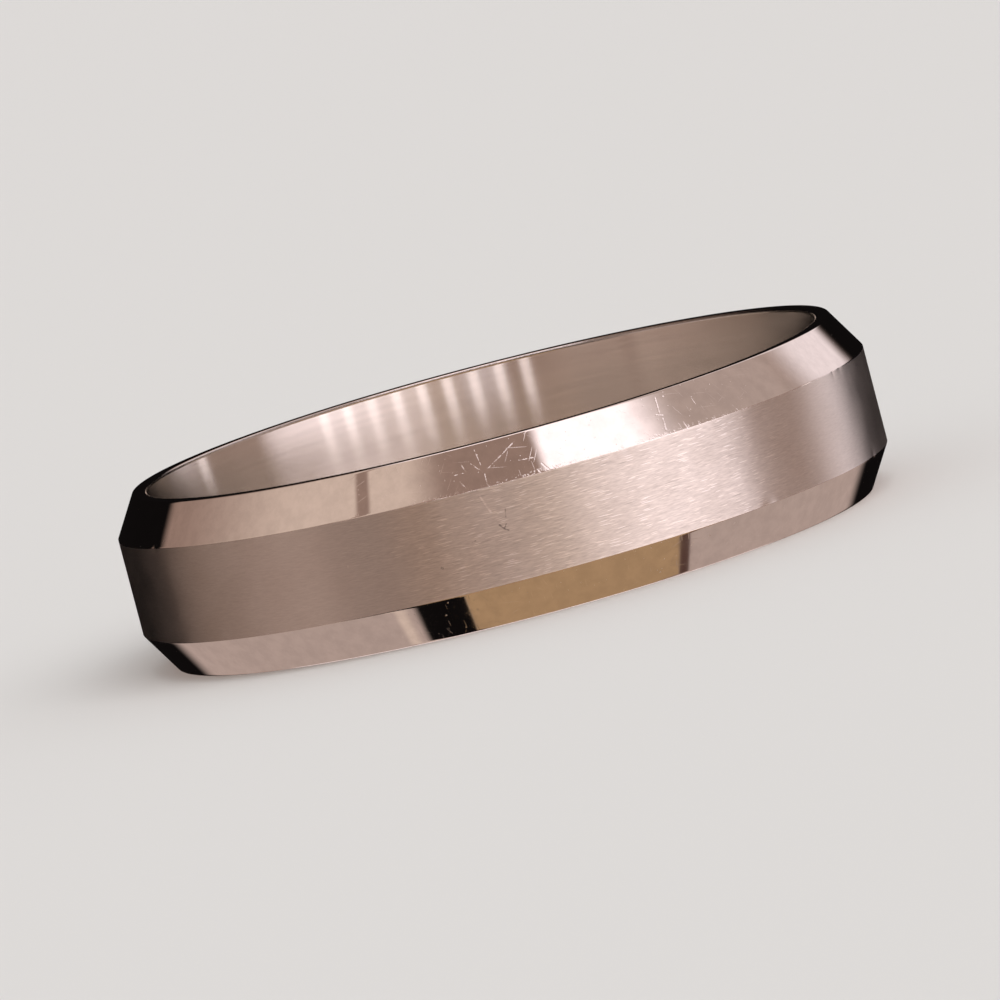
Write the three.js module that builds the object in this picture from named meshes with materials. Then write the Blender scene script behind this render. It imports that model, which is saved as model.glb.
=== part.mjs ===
// Wedding band, one seamless ring of white precious metal.
//
// A flat satin strip runs round the middle of the outside. On each side of it
// a polished bevel falls away to a narrow flat rim. The bore is crowned, so it
// is narrowest at mid width and opens a little towards both rims.
//
// Millimetres. +Z runs along the finger and the band lies on its lower rim.
// The origin is the centre of the finger hole in the plane of that rim.

import * as THREE from 'three';

// ---------------------------------------------------------------- dimensions

const bandWidth = 5.0;           // rim face to rim face, along the finger
const boreDiameter = 18.95;      // at mid width, where the bore is narrowest
const outsideDiameter = 21.4;    // over the satin strip
const bevelWidth = 1.14;         // each bevel's share of the band's width
const bevelDrop = 0.7;           // how far each bevel falls towards the finger
const rimThickness = 0.39;       // each rim, measured across the finger

const ridgeRounding = 0.05;      // where the satin strip meets a bevel
const rimOuterRounding = 0.05;   // where a bevel meets its rim
const rimInnerRounding = 0.1;    // where a rim meets the bore

// Facets round the finger, across the crowned bore and round each corner.
const turnSegments = 96;
const crownSegments = 6;
const cornerSegments = 2;

// ------------------------------------------------------------ derived radii

const outsideRadius = outsideDiameter / 2;
const boreRadius = boreDiameter / 2;
const rimOuterRadius = outsideRadius - bevelDrop;
const rimInnerRadius = rimOuterRadius - rimThickness;

// ------------------------------------------------------------------ profile

// Replaces a sharp corner by an arc that is tangent to both of its sides.
function roundCorner(before, corner, after, radius) {
  const toBefore = before.clone().sub(corner).normalize();
  const toAfter = after.clone().sub(corner).normalize();
  const halfAngle = Math.acos(toBefore.dot(toAfter)) / 2;
  const bisector = toBefore.clone().add(toAfter).normalize();
  const centre = corner.clone().addScaledVector(bisector, radius / Math.sin(halfAngle));
  const tangentLength = radius / Math.tan(halfAngle);
  const from = corner.clone().addScaledVector(toBefore, tangentLength).sub(centre).angle();
  const to = corner.clone().addScaledVector(toAfter, tangentLength).sub(centre).angle();
  const sweep = THREE.MathUtils.euclideanModulo(to - from + Math.PI, 2 * Math.PI) - Math.PI;

  const points = [];
  for (let step = 0; step <= cornerSegments; step++) {
    const angle = from + (sweep * step) / cornerSegments;
    const x = centre.x + radius * Math.cos(angle);
    const y = centre.y + radius * Math.sin(angle);
    points.push(new THREE.Vector2(x, y));
  }
  return points;
}

// The crowned bore is one large arc through both rim edges and mid width.
// Only the points between the two rim edges are given, from the top down.
function crownedBore() {
  const crownHeight = rimInnerRadius - boreRadius;
  const halfWidth = bandWidth / 2;
  const crownRadius = (halfWidth ** 2 + crownHeight ** 2) / (2 * crownHeight);
  const centreX = boreRadius + crownRadius;
  const halfSweep = Math.asin(halfWidth / crownRadius);

  const points = [];
  for (let step = 1; step < crownSegments; step++) {
    const angle = halfSweep * (1 - (2 * step) / crownSegments);
    const x = centreX - crownRadius * Math.cos(angle);
    const y = halfWidth + crownRadius * Math.sin(angle);
    points.push(new THREE.Vector2(x, y));
  }
  return points;
}

// The wall's section: x is the distance from the finger's axis, and y is the
// height above the lower rim. It runs anticlockwise and closes on itself.
function bandSection() {
  const corners = [
    { x: rimInnerRadius, y: 0, rounding: rimInnerRounding },
    { x: rimOuterRadius, y: 0, rounding: rimOuterRounding },
    { x: outsideRadius, y: bevelWidth, rounding: ridgeRounding },
    { x: outsideRadius, y: bandWidth - bevelWidth, rounding: ridgeRounding },
    { x: rimOuterRadius, y: bandWidth, rounding: rimOuterRounding },
    { x: rimInnerRadius, y: bandWidth, rounding: rimInnerRounding },
  ];
  const sharp = corners.map(({ x, y }) => new THREE.Vector2(x, y));
  const bore = crownedBore();

  const section = [];
  corners.forEach(({ rounding }, i) => {
    const before = i === 0 ? bore.at(-1) : sharp[i - 1];
    const after = i === corners.length - 1 ? bore[0] : sharp[i + 1];
    section.push(...roundCorner(before, sharp[i], after, rounding));
  });
  section.push(...bore);
  section.push(section[0].clone());
  return section;
}

// --------------------------------------------------------------------- band

function makeBand() {
  const geometry = new THREE.LatheGeometry(bandSection(), turnSegments);
  geometry.rotateX(Math.PI / 2);    // the lathe turns about Y; the finger runs along Z
  const material = new THREE.MeshStandardMaterial({
    color: 0xcfc8c3,
    metalness: 1,
    roughness: 0.25,
  });
  const band = new THREE.Mesh(geometry, material);
  band.name = 'band';
  return band;
}

const ring = new THREE.Group();
ring.name = 'wedding_band';
ring.add(makeBand());

export default ring;
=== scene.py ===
"""Looks of the wedding band: one ring of white metal on a plain pale floor.

The band is turned from one piece. Its outside has a satin strip between two
polished bevels, its rims are narrow and flat, and its bore is crowned. The
named sizes are in millimetres and become metres where the mesh is made. +Z
runs along the finger, and the band lies on its lower rim.
"""

import functools
import math

import bpy
import numpy as np
from mathutils import Matrix, Vector


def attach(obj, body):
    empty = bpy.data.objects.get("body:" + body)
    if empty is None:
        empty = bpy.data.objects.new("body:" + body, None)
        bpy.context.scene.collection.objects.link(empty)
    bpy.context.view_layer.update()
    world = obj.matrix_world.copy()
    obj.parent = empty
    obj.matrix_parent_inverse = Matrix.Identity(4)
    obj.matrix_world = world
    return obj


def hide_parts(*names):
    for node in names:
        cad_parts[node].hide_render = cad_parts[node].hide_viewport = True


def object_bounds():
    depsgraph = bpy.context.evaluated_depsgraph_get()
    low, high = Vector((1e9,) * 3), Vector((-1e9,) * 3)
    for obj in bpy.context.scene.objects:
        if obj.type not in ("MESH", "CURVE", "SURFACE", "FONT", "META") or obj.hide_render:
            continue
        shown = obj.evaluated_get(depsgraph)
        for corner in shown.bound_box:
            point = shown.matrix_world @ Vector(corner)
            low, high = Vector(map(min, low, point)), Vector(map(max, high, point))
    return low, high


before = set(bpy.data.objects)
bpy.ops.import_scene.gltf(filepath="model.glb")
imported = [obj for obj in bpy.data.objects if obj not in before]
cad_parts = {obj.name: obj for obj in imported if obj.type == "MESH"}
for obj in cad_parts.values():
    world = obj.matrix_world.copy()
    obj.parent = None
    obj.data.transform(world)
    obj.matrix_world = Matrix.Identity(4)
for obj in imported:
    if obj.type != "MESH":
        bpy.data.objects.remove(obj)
cad_low, cad_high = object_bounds()

MM = 0.001
MICRON = MM / 1000

# ------------------------------------------------------------- band dimensions

WIDTH = (cad_high.z - cad_low.z) / MM
OUTSIDE_RADIUS = (cad_high.x - cad_low.x) / 2 / MM
BORE_RADIUS = 9.475           # at mid width, where the bore is narrowest
BEVEL_WIDTH = 1.14            # along the finger
BEVEL_DROP = 0.70             # towards the finger
RIM_THICKNESS = 0.39
RIDGE_ROUNDING = 0.04         # satin strip to bevel
RIM_OUTER_ROUNDING = 0.05     # bevel to rim
RIM_INNER_ROUNDING = 0.08     # rim to bore

RIM_OUTER_RADIUS = OUTSIDE_RADIUS - BEVEL_DROP
RIM_INNER_RADIUS = RIM_OUTER_RADIUS - RIM_THICKNESS

TURN_STEPS = 1200             # mesh columns round the finger
RIM_STEPS = 3                 # mesh rows on each surface
BEVEL_STEPS = 10
SATIN_STEPS = 16
BORE_STEPS = 22
ROUNDING_STEPS = 4
NICKS = 34                    # worn into the ridges
NICK_SEED = 5
NICK_REACH = 0.10             # along the finger
NICK_HALF_LENGTHS = (0.05, 0.22)
NICK_DEPTHS = (0.004, 0.018)
BORE_LAYOUT_SHARE = 0.5       # of the outside's detail, in the baked maps
LAYOUT_MARGIN = 0.01

# ---------------------------------------------------------------------- camera

CAMERA_ELEVATION = math.radians(6.42)
CAMERA_ROLL = math.radians(14.71)
CAMERA_DISTANCE = 0.4158
CAMERA_LENS = 538.0           # mm
CAMERA_SENSOR = 36.0          # mm
CAMERA_REACH = (0.01, 10.0)   # nearest and farthest, in metres
AIM_RIGHT = -0.15             # where the view's centre lies beside the band's
AIM_UP = -0.28


def make_camera():
    """A long lens a little above the band's upper rim, rolled about its axis."""
    right = Vector((1, 0, 0))
    back = Vector((0, -math.cos(CAMERA_ELEVATION), math.sin(CAMERA_ELEVATION)))
    up = back.cross(right)
    aim = (cad_low + cad_high) / 2 + (right * AIM_RIGHT + up * AIM_UP) * MM
    axes = Matrix((right, up, back)).transposed().to_4x4()
    roll = Matrix.Rotation(-CAMERA_ROLL, 4, "Z")
    camera = bpy.data.objects.new("camera", bpy.data.cameras.new("camera"))
    camera.data.lens = CAMERA_LENS
    camera.data.sensor_width = CAMERA_SENSOR
    camera.data.clip_start, camera.data.clip_end = CAMERA_REACH
    camera.matrix_world = Matrix.Translation(aim + back * CAMERA_DISTANCE) @ axes @ roll
    bpy.context.scene.collection.objects.link(camera)
    bpy.context.scene.camera = camera


# ----------------------------------------------------------------- node graphs


class Graph:
    """A node tree written as calls: each adds one node and returns its output."""

    def __init__(self, tree):
        self.tree = tree
        tree.nodes.clear()

    def node(self, kind, inputs=(), **settings):
        made = self.tree.nodes.new(kind)
        for name, value in settings.items():
            setattr(made, name, value)
        for key, value in dict(inputs).items():
            self.feed(made.inputs[key], value)
        return made

    def feed(self, socket, value):
        if isinstance(value, bpy.types.NodeSocket):
            self.tree.links.new(value, socket)
        else:
            socket.default_value = value

    def math(self, operation, a, b=0.0, c=0.0):
        made = self.node("ShaderNodeMath", {0: a, 1: b, 2: c}, operation=operation)
        return made.outputs[0]

    def weighted(self, start, *terms):
        """Start, with each value times its weight added to it."""
        total = start
        for value, weight in terms:
            total = self.math("MULTIPLY_ADD", value, weight, total)
        return total

    def product(self, *values):
        return functools.reduce(functools.partial(self.math, "MULTIPLY"), values)

    def largest(self, *values):
        return functools.reduce(functools.partial(self.math, "MAXIMUM"), values)

    def vector(self, operation, a, b=(0, 0, 0)):
        made = self.node("ShaderNodeVectorMath", {0: a, 1: b}, operation=operation)
        return made.outputs["Value" if operation == "DOT_PRODUCT" else 0]

    def scale(self, vector, by):
        made = self.node("ShaderNodeVectorMath", operation="SCALE")
        self.feed(made.inputs[0], vector)
        self.feed(made.inputs["Scale"], by)
        return made.outputs[0]

    def combine(self, x, y, z):
        return self.node("ShaderNodeCombineXYZ", {0: x, 1: y, 2: z}).outputs[0]

    def separate(self, vector):
        made = self.node("ShaderNodeSeparateXYZ", {0: vector})
        return made.outputs[0], made.outputs[1], made.outputs[2]

    def step(self, value, low, high, to_low=0.0, to_high=1.0):
        """Goes smoothly from to_low to to_high while value goes from low to high."""
        inputs = {0: value, 1: low, 2: high, 3: to_low, 4: to_high}
        made = self.node("ShaderNodeMapRange", inputs, interpolation_type="SMOOTHSTEP")
        return made.outputs[0]

    def within(self, value, low, high, soft):
        """One from low to high and nought outside, with edges twice soft wide."""
        rising = self.step(value, low - soft, low + soft)
        falling = self.step(value, high - soft, high + soft, 1.0, 0.0)
        return self.product(rising, falling)

    def noise(self, vector, scale, detail=2.0, roughness=0.5):
        inputs = {"Vector": vector, "Scale": scale, "Detail": detail, "Roughness": roughness}
        return self.node("ShaderNodeTexNoise", inputs).outputs["Fac"]

    def mix(self, share, a, b):
        """A colour that goes from a to b as share goes from 0 to 1."""
        made = self.node("ShaderNodeMix", data_type="RGBA")
        self.feed(made.inputs[0], share)
        self.feed(made.inputs[6], a)
        self.feed(made.inputs[7], b)
        return made.outputs[2]


# ---------------------------------------------------------------------- studio

FLOOR_HALF = 3.0              # metres
FLOOR_COLOUR = (0.72, 0.71, 0.70, 1.0)
FLOOR_ROUGHNESS = 0.9
PALE = (0.74, 0.73, 0.72, 1.0)
SUN_STRENGTH = 1.2
SUN_SPREAD = math.radians(50)
SUN_TILT = (math.radians(35), math.radians(25), 0)

# Only the metal mirrors what follows. The eye and the floor see plain PALE. These
# are its colours, from dark to light.
BLACK = (0.005, 0.004, 0.004, 1.0)
UMBER = (0.10, 0.05, 0.04, 1.0)
DIM = (0.20, 0.13, 0.10, 1.0)
BROWN = (0.34, 0.22, 0.18, 1.0)
OCHRE = (0.44, 0.27, 0.15, 1.0)
ROSE = (0.50, 0.37, 0.33, 1.0)
PALE_ROSE = (0.72, 0.54, 0.46, 1.0)
SOFT_WHITE = (1.0, 0.84, 0.85, 1.0)
WHITE = (1.6, 1.34, 1.36, 1.0)
LAMPLIGHT = (3.0, 2.6, 2.6, 1.0)

# Elevations in degrees of the cards' lower and upper edges, and how far to either
# side of an edge it is soft.
OVERHEAD = (70, 95)
ABOVE = (12, 70)
TALL = (-19, 70)
LEVEL = (-19, 12)
BY_THE_LAMPS = (0, 10)
BELOW = (-80, -19)
BEHIND = (-30, 25)
UNDERFOOT = (-80, -47)
SOFTNESS = 3

# Cards and soft boxes, each as (azimuths, elevations, colour), and each in front
# of those before it. The azimuths, in degrees, are where a card starts and is full
# on its left, and starts to fade and is gone on its right.
ALL_ROUND = (-181, -180, 180, 181)
CARDS = [
    (ALL_ROUND, OVERHEAD, WHITE),
    ((-131, -75, -60, -58), ABOVE, PALE_ROSE),
    ((-55, -53, -42, -20), ABOVE, PALE_ROSE),
    ((50, 60, 110, 130), ABOVE, ROSE),
    ((16, 22, 52, 78), ABOVE, WHITE),
    ((115, 130, 150, 155), ABOVE, SOFT_WHITE),
    ((-181, -180, -110, -70), LEVEL, DIM),
    ((-181, -180, -132, -108), LEVEL, BLACK),
    ((-173, -167, -136, -131), TALL, BLACK),
    ((-14, -8, 50, 56), BY_THE_LAMPS, SOFT_WHITE),
    ((0, 10, 60, 70), LEVEL, PALE_ROSE),
    ((10, 54, 72, 84), LEVEL, WHITE),
    ((105, 125, 140, 150), LEVEL, SOFT_WHITE),
    ((-70, -67, -66, -62), BELOW, PALE_ROSE),
    ((-62, -58, -36, -35), BELOW, BLACK),
    ((-36, -35, 77, 78), BELOW, OCHRE),
    ((77, 78, 81, 82), BELOW, UMBER),
]

# What stands behind, the same on both sides, with azimuths counted either way.
BACKDROP = [
    ((122, 142, 180, 181), LEVEL, BLACK),
    ((147, 155, 180, 181), BEHIND, BLACK),
    ((122, 132, 180, 181), UNDERFOOT, WHITE),
]

# A row of small lamps just above the level, and one more on the right, in degrees.
LAMP_FIRST = -18
LAMP_LAST = 54
LAMP_SPACING = 9
LAMP_HALF_WIDTH = 2.2
LAMP_HEIGHTS = (3, 9)
LAMP_SOFTNESS = 1
SIDE_LAMP = (109, 114)

# Light mirrored more times than the first of these meets a plain wall instead,
# which darkens until it has been mirrored as many times as the second.
MIRRORED_AGAIN = (1.5, 3.5)


class Sky(Graph):
    """The world's graph, with each ray's direction as an azimuth, which is 0 in
    front of the band and grows to the right, and an elevation, in degrees."""

    def __init__(self, tree):
        super().__init__(tree)
        direction = self.node("ShaderNodeTexCoord").outputs["Generated"]
        x, y, z = self.separate(direction)
        turn = self.math("ARCTAN2", x, self.math("MULTIPLY", y, -1.0))
        self.azimuth = self.math("DEGREES", turn)
        self.either_way = self.math("ABSOLUTE", self.azimuth)
        self.elevation = self.math("DEGREES", self.math("ARCSINE", z))

    def walls(self):
        """Brown walls that stand on a paler ground."""
        edge = BELOW[1]
        return self.mix(self.step(self.elevation, edge - SOFTNESS, edge + SOFTNESS), ROSE, BROWN)

    def hang(self, cards, azimuth, walls):
        """The walls with cards in front of them, at azimuths measured that way."""
        for (start, full, fade, end), (lowest, highest), colour in cards:
            sides = self.product(
                self.step(azimuth, start, full), self.step(azimuth, fade, end, 1.0, 0.0)
            )
            card = self.product(sides, self.within(self.elevation, lowest, highest, SOFTNESS))
            walls = self.mix(card, walls, colour)
        return walls

    def lamps(self, walls):
        """The walls with the row of lamps and the side lamp on them."""
        phase = self.weighted(0.5 - LAMP_FIRST / LAMP_SPACING, (self.azimuth, 1 / LAMP_SPACING))
        off_centre = self.math("SUBTRACT", self.math("FRACT", phase), 0.5)
        degrees_off = self.product(self.math("ABSOLUTE", off_centre), LAMP_SPACING)
        lamps = self.step(degrees_off, LAMP_HALF_WIDTH / 2, LAMP_HALF_WIDTH, 1.0, 0.0)
        row = (LAMP_FIRST - LAMP_SPACING / 2, LAMP_LAST + LAMP_SPACING / 2)
        lamps = self.product(lamps, self.within(self.azimuth, *row, LAMP_SOFTNESS))
        lamps = self.largest(lamps, self.within(self.azimuth, *SIDE_LAMP, LAMP_SOFTNESS))
        lamps = self.product(lamps, self.within(self.elevation, *LAMP_HEIGHTS, LAMP_SOFTNESS))
        return self.mix(lamps, walls, LAMPLIGHT)


def make_studio():
    """The world: plain and pale to the eye and to the floor, and to the metal a
    studio of cards and lamps."""
    world = bpy.data.worlds.new("studio")
    world.use_nodes = True
    sky = Sky(world.node_tree)
    path = sky.node("ShaderNodeLightPath").outputs
    studio = sky.hang(CARDS, sky.azimuth, sky.walls())
    studio = sky.hang(BACKDROP, sky.either_way, studio)
    studio = sky.lamps(studio)
    times = path["Glossy Depth"]
    inside = sky.mix(sky.step(times, *MIRRORED_AGAIN), PALE_ROSE, BLACK)
    studio = sky.mix(sky.math("GREATER_THAN", times, MIRRORED_AGAIN[0]), studio, inside)
    seen = sky.mix(path["Is Glossy Ray"], PALE, studio)
    background = sky.node("ShaderNodeBackground", {"Color": seen})
    sky.node("ShaderNodeOutputWorld", {0: background.outputs[0]})
    world.cycles.sampling_method = "NONE"
    bpy.context.scene.world = world


def make_floor():
    bpy.ops.mesh.primitive_plane_add(size=2 * FLOOR_HALF)
    floor = bpy.context.object
    floor.name = "floor"
    floor.visible_glossy = False
    material, graph = blank_material("floor")
    inputs = {"Base Color": FLOOR_COLOUR, "Roughness": FLOOR_ROUGHNESS}
    shader = graph.node("ShaderNodeBsdfPrincipled", inputs)
    graph.node("ShaderNodeOutputMaterial", {0: shader.outputs[0]})
    floor.data.materials.append(material)


def make_sun():
    sun = bpy.data.objects.new("sun", bpy.data.lights.new("sun", "SUN"))
    sun.data.energy = SUN_STRENGTH
    sun.data.angle = SUN_SPREAD
    sun.rotation_euler = SUN_TILT
    sun.visible_glossy = False
    bpy.context.scene.collection.objects.link(sun)


# ------------------------------------------------------------------- materials

METAL = (0.80, 0.78, 0.745)   # a neutral, slightly warm white
BEVEL_SLOPE = math.atan2(BEVEL_DROP, BEVEL_WIDTH)
WORN_SIDE = math.radians(14)  # the side of the band that meets the world most
WEAR_FROM = (0.90, 1.13)      # how far to that side wear sets in and is full

SATIN_ROUGHNESS = (0.33, 0.38)
SATIN_STRETCH = 0.82          # of the gloss along the finger, across the brushing
SATIN_TONE = 0.90             # of the metal's brightness, before grain and marks
POLISH_ROUGHNESS = (0.02, 0.04)
POLISH_TONE = (1.04, 0.93)
BORE_ROUGHNESS = (0.17, 0.20)
BORE_STRETCH = 0.98
BORE_TONE = (0.97, 1.02)
MARK_GLINT_METAL = (0.97, 0.96, 0.95, 1.0)    # a whiter colour in scratches, hairlines and pits: painted glint

# Scattered lines, each kind as (slant in degrees from the direction round the
# band, length, width, gap between lines, seed), in millimetres.
# The satin's bright hairlines, drawn lighter: painted glints in its grain.
SATIN_GLINT_LINES = [
    (1, 0.42, 0.024, 0.08, 31),
    (-2, 0.28, 0.022, 0.06, 43),
    (3, 0.55, 0.026, 0.13, 57),
]
# The satin's dark hairlines, drawn darker: painted shade in its grain.
SHADED_FURROWS = (-1, 0.50, 0.026, 0.09, 71)
HAIRLINES = [
    (12, 0.80, 0.017, 0.18, 1),
    (-24, 0.40, 0.017, 0.20, 21),
    (38, 0.30, 0.017, 0.22, 9),
    (68, 0.50, 0.017, 0.20, 5),
    (-62, 0.50, 0.017, 0.20, 13),
    (86, 0.30, 0.017, 0.18, 17),
]

# The marks that stand out, each as (degrees round the band, height, length,
# slant in degrees from the direction round the band, width), in millimetres.
UPPER_BEVEL_MARKS = [
    (1, 4.55, 1.30, 32, 0.030),
    (-3, 4.40, 0.55, -50, 0.030),
    (-2, 4.05, 0.45, 90, 0.026),
    (-2.5, 4.65, 0.60, -80, 0.020),
    (-5, 4.50, 0.45, -70, 0.026),
    (-5.5, 4.35, 0.45, 0, 0.030),
    (-5.5, 4.05, 0.35, -60, 0.030),
    (4.5, 4.30, 0.50, -5, 0.034),
    (7, 3.95, 0.40, -60, 0.050),
    (27, 4.65, 0.60, 75, 0.044),
    (26.5, 4.15, 0.45, 75, 0.040),
    (26.5, 4.40, 0.25, -20, 0.044),
    (29.5, 3.95, 0.30, -85, 0.044),
    (33, 4.50, 0.35, -85, 0.030),
    (39, 3.95, 0.30, -75, 0.024),
]
# Scratches in the satin, drawn lighter: painted highlights.
SATIN_GLINT_MARKS = [
    (-3, 3.40, 0.70, -70, 0.060),
    (-3, 2.50, 0.55, 0, 0.024),
    (-25.5, 2.60, 0.10, 75, 0.040),
    (27.5, 3.25, 0.50, 0, 0.030),
]
# Dents in the satin, drawn darker: painted shade in them.
SATIN_SHADED_DENTS = [
    (-1.5, 2.70, 0.25, -50, 0.060),
    (-1, 2.60, 0.20, -30, 0.040),
    (-1, 2.70, 0.20, 50, 0.040),
    (-0.5, 3.05, 0.30, 80, 0.030),
    (-6, 2.50, 0.15, 5, 0.040),
    (-11.5, 2.00, 0.10, -40, 0.070),
]


class Surface:
    """The band's surface in one material's graph, in millimetres: a place in
    space, and a flat place of distance round the band and distance up it. Rise
    is the distance up the surface for each millimetre of height."""

    def __init__(self, graph, rise=1.0):
        self.graph = graph
        self.rise = rise
        coordinates = graph.node("ShaderNodeTexCoord").outputs["Object"]
        self.place = graph.scale(coordinates, 1 / MM)
        self.x, self.y, self.height = graph.separate(self.place)
        turn = graph.math("ARCTAN2", self.x, graph.math("MULTIPLY", self.y, -1.0))
        around = graph.math("MULTIPLY", turn, OUTSIDE_RADIUS)
        self.flat = graph.combine(around, graph.math("MULTIPLY", self.height, rise), 0.0)
        self.wear = self.worn_towards((math.sin(WORN_SIDE), -math.cos(WORN_SIDE), 0))

    def worn_towards(self, way):
        """Wear from nought to one on the side that faces that way, in patches."""
        graph = self.graph
        patches = graph.noise(self.place, 0.5, 3.0)
        ahead = graph.vector("DOT_PRODUCT", self.place, way)
        facing = graph.weighted(0.0, (ahead, 1 / OUTSIDE_RADIUS), (patches, 0.3))
        return graph.step(facing, *WEAR_FROM)

    def streaks(self, along, across, tilt=0.0, detail=2.0, seed=0.0):
        """Noise drawn out round the finger, with no seam; along and across are
        features per millimetre."""
        graph = self.graph
        slanted = graph.weighted(self.height, (self.x, tilt))
        stretched = graph.combine(
            graph.math("MULTIPLY", self.x, along),
            graph.math("MULTIPLY", self.y, along),
            graph.weighted(seed, (slanted, across)),
        )
        return graph.noise(stretched, 1.0, detail)

    def hairlines(self, slant, length, width, gap, seed):
        """Scattered fine lines, one in each cell of gap by length over width
        times gap, so that each is a cell's small round middle drawn out."""
        graph = self.graph
        turned = graph.node(
            "ShaderNodeVectorRotate",
            {"Vector": self.flat, "Angle": math.radians(slant)},
            rotation_type="Z_AXIS",
        ).outputs[0]
        share = width / gap
        cell = (share / length, 1 / gap, 1.0)
        placed = graph.vector("ADD", graph.vector("MULTIPLY", turned, cell), (seed, seed, 0))
        cells = graph.node(
            "ShaderNodeTexVoronoi", {"Vector": placed, "Scale": 1.0}, voronoi_dimensions="2D"
        )
        line = graph.step(cells.outputs["Distance"], share / 4, share / 2, 1.0, 0.0)
        strength = graph.separate(cells.outputs["Color"])[0]
        return graph.product(line, graph.step(strength, 0.2, 0.9))

    def specks(self, spacing, size, seed):
        """Scattered pin-points, from one point in each cell of space."""
        graph = self.graph
        placed = graph.vector("ADD", self.place, (seed, seed, seed))
        cells = graph.node("ShaderNodeTexVoronoi", {"Vector": placed, "Scale": 1 / spacing})
        share = size / spacing
        return graph.step(cells.outputs["Distance"], share / 2, share, 1.0, 0.0)

    def beside_ridge(self, reach):
        """Falls from one to nought within reach of either ridge."""
        graph = self.graph
        from_middle = graph.math("ABSOLUTE", graph.math("SUBTRACT", self.height, WIDTH / 2))
        off = graph.math("SUBTRACT", from_middle, WIDTH / 2 - BEVEL_WIDTH)
        return graph.step(graph.math("ABSOLUTE", off), 0.0, reach, 1.0, 0.0)

    def mark(self, degrees, height, length, slant, width):
        """One straight scratch."""
        graph = self.graph
        centre = (math.radians(degrees) * OUTSIDE_RADIUS, height * self.rise, 0)
        off = graph.vector("SUBTRACT", self.flat, centre)
        cosine = math.cos(math.radians(slant))
        sine = math.sin(math.radians(slant))
        along = graph.math("ABSOLUTE", graph.vector("DOT_PRODUCT", off, (cosine, sine, 0)))
        across = graph.math("ABSOLUTE", graph.vector("DOT_PRODUCT", off, (-sine, cosine, 0)))
        return graph.product(
            graph.step(along, length * 0.35, length * 0.5, 1.0, 0.0),
            graph.step(across, width * 0.2, width * 0.6, 1.0, 0.0),
        )

    def marks(self, listed):
        """The scratches of a list, fainter here and there along their length."""
        graph = self.graph
        scratches = graph.largest(*[self.mark(*mark) for mark in listed])
        faintness = graph.step(graph.noise(self.place, 9.0, 2.0), 0.35, 0.6, 0.25, 1.0)
        return graph.product(scratches, faintness)


def blank_material(name):
    material = bpy.data.materials.new(name)
    material.use_nodes = True
    return material, Graph(material.node_tree)


def metal(graph, tone, roughness, height, stretch=0.0, painted_glint=0.0):
    """The shader and output that every surface of the band ends in. Tone is the
    brightness, height the relief in thousandths of a millimetre, stretch the
    brushing, and the last argument where marks are drawn in a whiter colour, a painted glint."""
    colour = graph.mix(painted_glint, graph.scale(METAL, tone), MARK_GLINT_METAL)
    bump = graph.node("ShaderNodeBump", {"Height": height, "Distance": MICRON, "Strength": 1.0})
    shader = graph.node(
        "ShaderNodeBsdfPrincipled",
        {
            "Base Color": colour,
            "Metallic": 1.0,
            "Roughness": roughness,
            "Normal": bump.outputs[0],
        },
    )
    if stretch:
        tangent = graph.node("ShaderNodeTangent", direction_type="RADIAL", axis="Z")
        graph.feed(shader.inputs["Tangent"], tangent.outputs[0])
        graph.feed(shader.inputs["Anisotropic"], stretch)
        graph.feed(shader.inputs["Anisotropic Rotation"], 0.25)    # a quarter turn
    graph.node("ShaderNodeOutputMaterial", {0: shader.outputs[0]})


def satin_metal():
    """Brushed round the finger: a soft upright glow and a sharp fine grain, whose bright
    hairlines are painted glints and dark ones painted shade; the ridges have a painted sheen,
    and the marks painted highlights and painted shade.
    """
    material, graph = blank_material("satin_metal")
    skin = Surface(graph)
    fine = skin.streaks(5.0, 34.0, tilt=0.02, detail=2.0, seed=3.0)
    crossing = skin.streaks(2.0, 18.0, tilt=-0.03, detail=3.0, seed=11.0)
    grain = graph.weighted(-0.4, (fine, 0.5), (crossing, 0.3))
    patches = graph.step(graph.noise(skin.place, 1.1, 3.0), 0.35, 0.65, 0.4, 1.0)
    # Where the satin's painted glints and painted shade in its hairlines show: the worn side, in
    # patches.
    worn_painted_light = graph.product(patches, skin.wear)
    # Bright hairlines on the worn side, drawn lighter: painted glints.
    painted_glint_lines = graph.largest(*[skin.hairlines(*kind) for kind in SATIN_GLINT_LINES])
    painted_glint_lines = graph.product(painted_glint_lines, worn_painted_light)
    # Dark hairlines on the worn side, drawn darker: painted shade.
    furrow_shade = graph.product(skin.hairlines(*SHADED_FURROWS), worn_painted_light)
    # The satin beside the ridges, drawn brighter on the worn side: wear, shown as a painted
    # sheen.
    rubbed_ridge_sheen = graph.product(skin.beside_ridge(0.09), skin.wear)
    # Scratches drawn lighter: painted highlights.
    glint_marks = skin.marks(SATIN_GLINT_MARKS)
    # Dents drawn darker: painted shade in them.
    shaded_dents = skin.marks(SATIN_SHADED_DENTS)
    tone = graph.weighted(
        SATIN_TONE,
        (grain, graph.weighted(0.4, (skin.wear, 0.6))),
        (painted_glint_lines, 0.70),
        (furrow_shade, -0.3),
        (rubbed_ridge_sheen, 0.12),
        (glint_marks, 0.3),
        (shaded_dents, -0.5),
    )
    haze = graph.noise(skin.place, 0.9, 3.0)
    roughness = graph.step(haze, 0.3, 0.7, *SATIN_ROUGHNESS)
    height = graph.weighted(0.0, (grain, 1.2), (painted_glint_lines, -0.6), (shaded_dents, -1.5))
    metal(graph, tone, roughness, height, stretch=SATIN_STRETCH)
    return material


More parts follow.
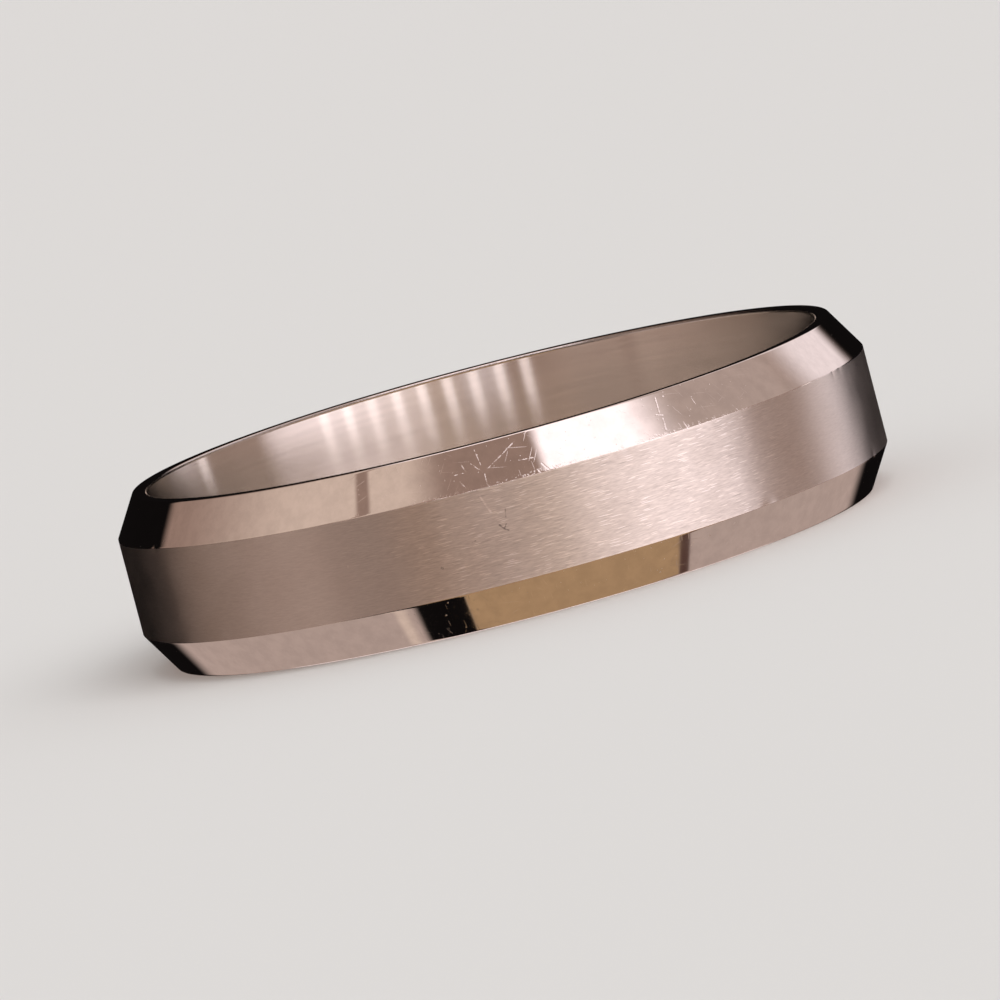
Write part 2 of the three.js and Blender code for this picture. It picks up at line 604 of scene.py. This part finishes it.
def polished_metal():
    """Mirror polish with smudges, hairlines, pin-points and real scratches, the last three drawn
    in a whiter colour, a painted glint.
    """
    material, graph = blank_material("polished_metal")
    skin = Surface(graph, 1 / math.cos(BEVEL_SLOPE))
    upper = graph.step(skin.height, WIDTH * 0.4, WIDTH * 0.6)
    strength = graph.product(
        graph.weighted(0.15, (skin.wear, 0.75)), graph.weighted(0.6, (upper, 0.4))
    )
    lines = graph.largest(*[skin.hairlines(*kind) for kind in HAIRLINES])
    lines = graph.product(lines, strength)
    frayed = graph.step(graph.noise(skin.place, 14.0, 2.0), 0.5, 0.7)
    frayed = graph.product(frayed, skin.beside_ridge(0.16), upper, skin.wear)
    pits = graph.largest(skin.specks(0.45, 0.034, 2.0), skin.specks(0.2, 0.018, 6.0), frayed)
    pits = graph.product(pits, strength)
    scratches = skin.marks(UPPER_BEVEL_MARKS)
    smudges = graph.noise(skin.place, 2.2, 5.0, 0.6)
    roughness = graph.weighted(
        graph.step(smudges, 0.35, 0.7, *POLISH_ROUGHNESS),
        (skin.wear, 0.02),
        (lines, 0.25),
        (pits, 0.5),
        (scratches, 0.3),
    )
    ripple = graph.noise(skin.place, 0.7, 1.0)
    height = graph.weighted(0.0, (ripple, 1.5), (lines, -0.8), (scratches, -1.8), (pits, -2.0))
    tone = graph.step(smudges, 0.3, 0.7, *POLISH_TONE)
    # Hairlines, pits and scratches drawn whiter: painted glint.
    metal(graph, tone, roughness, height, painted_glint=graph.largest(lines, pits, scratches))
    return material


def bore_metal():
    """Turned on the lathe and then polished by the finger."""
    material, graph = blank_material("bore_metal")
    skin = Surface(graph)
    haze = graph.noise(skin.place, 0.8, 4.0)
    roughness = graph.step(haze, 0.35, 0.75, *BORE_ROUGHNESS)
    lines = skin.streaks(0.2, 9.0, seed=17.0)
    tone = graph.step(lines, 0.3, 0.7, *BORE_TONE)
    metal(graph, tone, roughness, graph.product(lines, 0.05), stretch=BORE_STRETCH)
    return material


# ------------------------------------------------------------------- band mesh

SATIN, POLISHED, BORE = range(3)


def round_corner(before, corner, after, radius, steps):
    """Points of an arc that is tangent to both sides of a sharp corner."""
    to_before = (before - corner) / np.linalg.norm(before - corner)
    to_after = (after - corner) / np.linalg.norm(after - corner)
    half = math.acos(float(to_before @ to_after)) / 2
    bisector = (to_before + to_after) / np.linalg.norm(to_before + to_after)
    centre = corner + bisector * radius / math.sin(half)
    start = corner + to_before * radius / math.tan(half) - centre
    end = corner + to_after * radius / math.tan(half) - centre
    first = math.atan2(start[1], start[0])
    sweep = (math.atan2(end[1], end[0]) - first + math.pi) % (2 * math.pi) - math.pi
    angles = first + sweep * np.linspace(0, 1, steps + 1)
    return centre + radius * np.column_stack((np.cos(angles), np.sin(angles)))


def straight(start, end, steps):
    """Points between two others, closer together towards both ends."""
    share = (1 - np.cos(np.pi * np.arange(1, steps) / steps)) / 2
    return start + share[:, None] * (end - start)


def crowned(steps):
    """Points of the bore's arc from the upper rim edge down to the lower one."""
    crown = RIM_INNER_RADIUS - BORE_RADIUS
    half_width = WIDTH / 2
    radius = (half_width**2 + crown**2) / (2 * crown)
    half_sweep = math.asin(half_width / radius)
    angles = half_sweep * np.cos(np.pi * np.arange(1, steps) / steps)
    r = BORE_RADIUS + radius - radius * np.cos(angles)
    return np.column_stack((r, half_width + radius * np.sin(angles)))


def band_section():
    """The wall's section as (radius, height) points, anticlockwise from the
    lower inner corner, and the material of the face after each point."""
    corners = np.array([
        (RIM_INNER_RADIUS, 0),
        (RIM_OUTER_RADIUS, 0),
        (OUTSIDE_RADIUS, BEVEL_WIDTH),
        (OUTSIDE_RADIUS, WIDTH - BEVEL_WIDTH),
        (RIM_OUTER_RADIUS, WIDTH),
        (RIM_INNER_RADIUS, WIDTH),
    ])
    roundings = [RIM_INNER_ROUNDING, RIM_OUTER_ROUNDING, RIDGE_ROUNDING]
    roundings += roundings[::-1]
    rim = (RIM_STEPS, POLISHED)
    bevel = (BEVEL_STEPS, POLISHED)
    sides = [rim, bevel, (SATIN_STEPS, SATIN), bevel, rim]
    bore = crowned(BORE_STEPS)
    arcs = []
    for i, corner in enumerate(corners):
        before = bore[-1] if i == 0 else corners[i - 1]
        after = bore[0] if i == len(corners) - 1 else corners[i + 1]
        arcs.append(round_corner(before, corner, after, roundings[i], ROUNDING_STEPS))
    points, zones = [], []
    for i, arc in enumerate(arcs):
        points.extend(arc)
        zones.extend([POLISHED] * (len(arc) - 1))
        steps, zone = sides[i] if i < len(sides) else (len(bore) + 1, BORE)
        between = straight(arc[-1], arcs[i + 1][0], steps) if i < len(sides) else bore
        points.extend(between)
        zones.extend([zone] * (len(between) + 1))
    return np.array(points), np.array(zones)


def nick(radius, height, turn):
    """Wears small dents into the two ridges beside the satin strip. Radius has a
    row for each column of the mesh, and height and turn are its rows' and its
    columns' places."""
    chance = np.random.default_rng(NICK_SEED)
    outside = radius[0] > RIM_OUTER_RADIUS
    for _ in range(NICKS):
        ridge = chance.choice([BEVEL_WIDTH, WIDTH - BEVEL_WIDTH])
        place = chance.uniform(-np.pi, np.pi)
        half_length = chance.uniform(*NICK_HALF_LENGTHS)
        depth = chance.uniform(*NICK_DEPTHS)
        around = (turn - place + np.pi) % (2 * np.pi) - np.pi
        along = np.exp(-((around * OUTSIDE_RADIUS / half_length) ** 2))
        across = outside * np.exp(-(((height - ridge) / NICK_REACH) ** 2))
        radius -= depth * np.outer(along, across)


def add_bake_layout(mesh, section):
    """Unrolls the band into two strips, one above the other, for the bake."""
    sizes = np.linalg.norm(np.roll(section, -1, axis=0) - section, axis=1)
    bore = section[:, 0] < RIM_INNER_RADIUS - RIM_INNER_ROUNDING / 2
    sizes[bore] *= BORE_LAYOUT_SHARE
    across = np.concatenate(([0], np.cumsum(sizes))) / sizes.sum()
    half_turn = TURN_STEPS // 2
    column, row = np.meshgrid(np.arange(TURN_STEPS), np.arange(len(section)), indexing="ij")
    margin = LAYOUT_MARGIN
    upper = column // half_turn
    corners = []
    for column_step, row_step in ((0, 0), (1, 0), (1, 1), (0, 1)):
        u = (column % half_turn + column_step) / half_turn
        v = across[row + row_step]
        u = margin + u * (1 - 2 * margin)
        v = (upper + margin + v * (1 - 2 * margin)) / 2
        corners.append(np.stack((u, v), axis=-1))
    layout = mesh.uv_layers.new(name="OFBake")
    layout.data.foreach_set("uv", np.stack(corners, axis=2).astype(np.float32).ravel())


def band_vertices(section):
    """The section turned round the finger, one column of points after another."""
    turn = 2 * np.pi * np.arange(TURN_STEPS) / TURN_STEPS
    radius = np.tile(section[:, 0], (TURN_STEPS, 1))
    height = np.tile(section[:, 1], (TURN_STEPS, 1))
    nick(radius, height[0], turn)
    x = radius * np.sin(turn)[:, None]
    y = -radius * np.cos(turn)[:, None]
    return np.stack((x, y, height), axis=-1).reshape(-1, 3) * MM


def band_faces(rows):
    """Quads between neighbouring columns and rows, which both close on themselves."""
    column, row = np.meshgrid(np.arange(TURN_STEPS), np.arange(rows), indexing="ij")
    next_column = (column + 1) % TURN_STEPS
    next_row = (row + 1) % rows
    corners = [
        column * rows + row,
        next_column * rows + row,
        next_column * rows + next_row,
        column * rows + next_row,
    ]
    return np.stack(corners, axis=-1).reshape(-1, 4)


def make_band():
    section, zones = band_section()
    faces = band_faces(len(section))
    mesh = bpy.data.meshes.new("band_surface")
    mesh.from_pydata(band_vertices(section).tolist(), [], faces.tolist())
    mesh.polygons.foreach_set("material_index", np.tile(zones, TURN_STEPS).astype(np.int32))
    mesh.polygons.foreach_set("use_smooth", np.ones(len(faces), dtype=bool))
    for material in (satin_metal(), polished_metal(), bore_metal()):
        mesh.materials.append(material)
    add_bake_layout(mesh, section)
    mesh.update()
    band = bpy.data.objects.new("band_surface", mesh)
    bpy.context.scene.collection.objects.link(band)
    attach(band, "root")
    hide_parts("band")


# --------------------------------------------------------------------- running

bpy.context.scene.view_settings.view_transform = "Standard"
make_camera()
make_floor()
make_sun()
make_studio()
make_band()
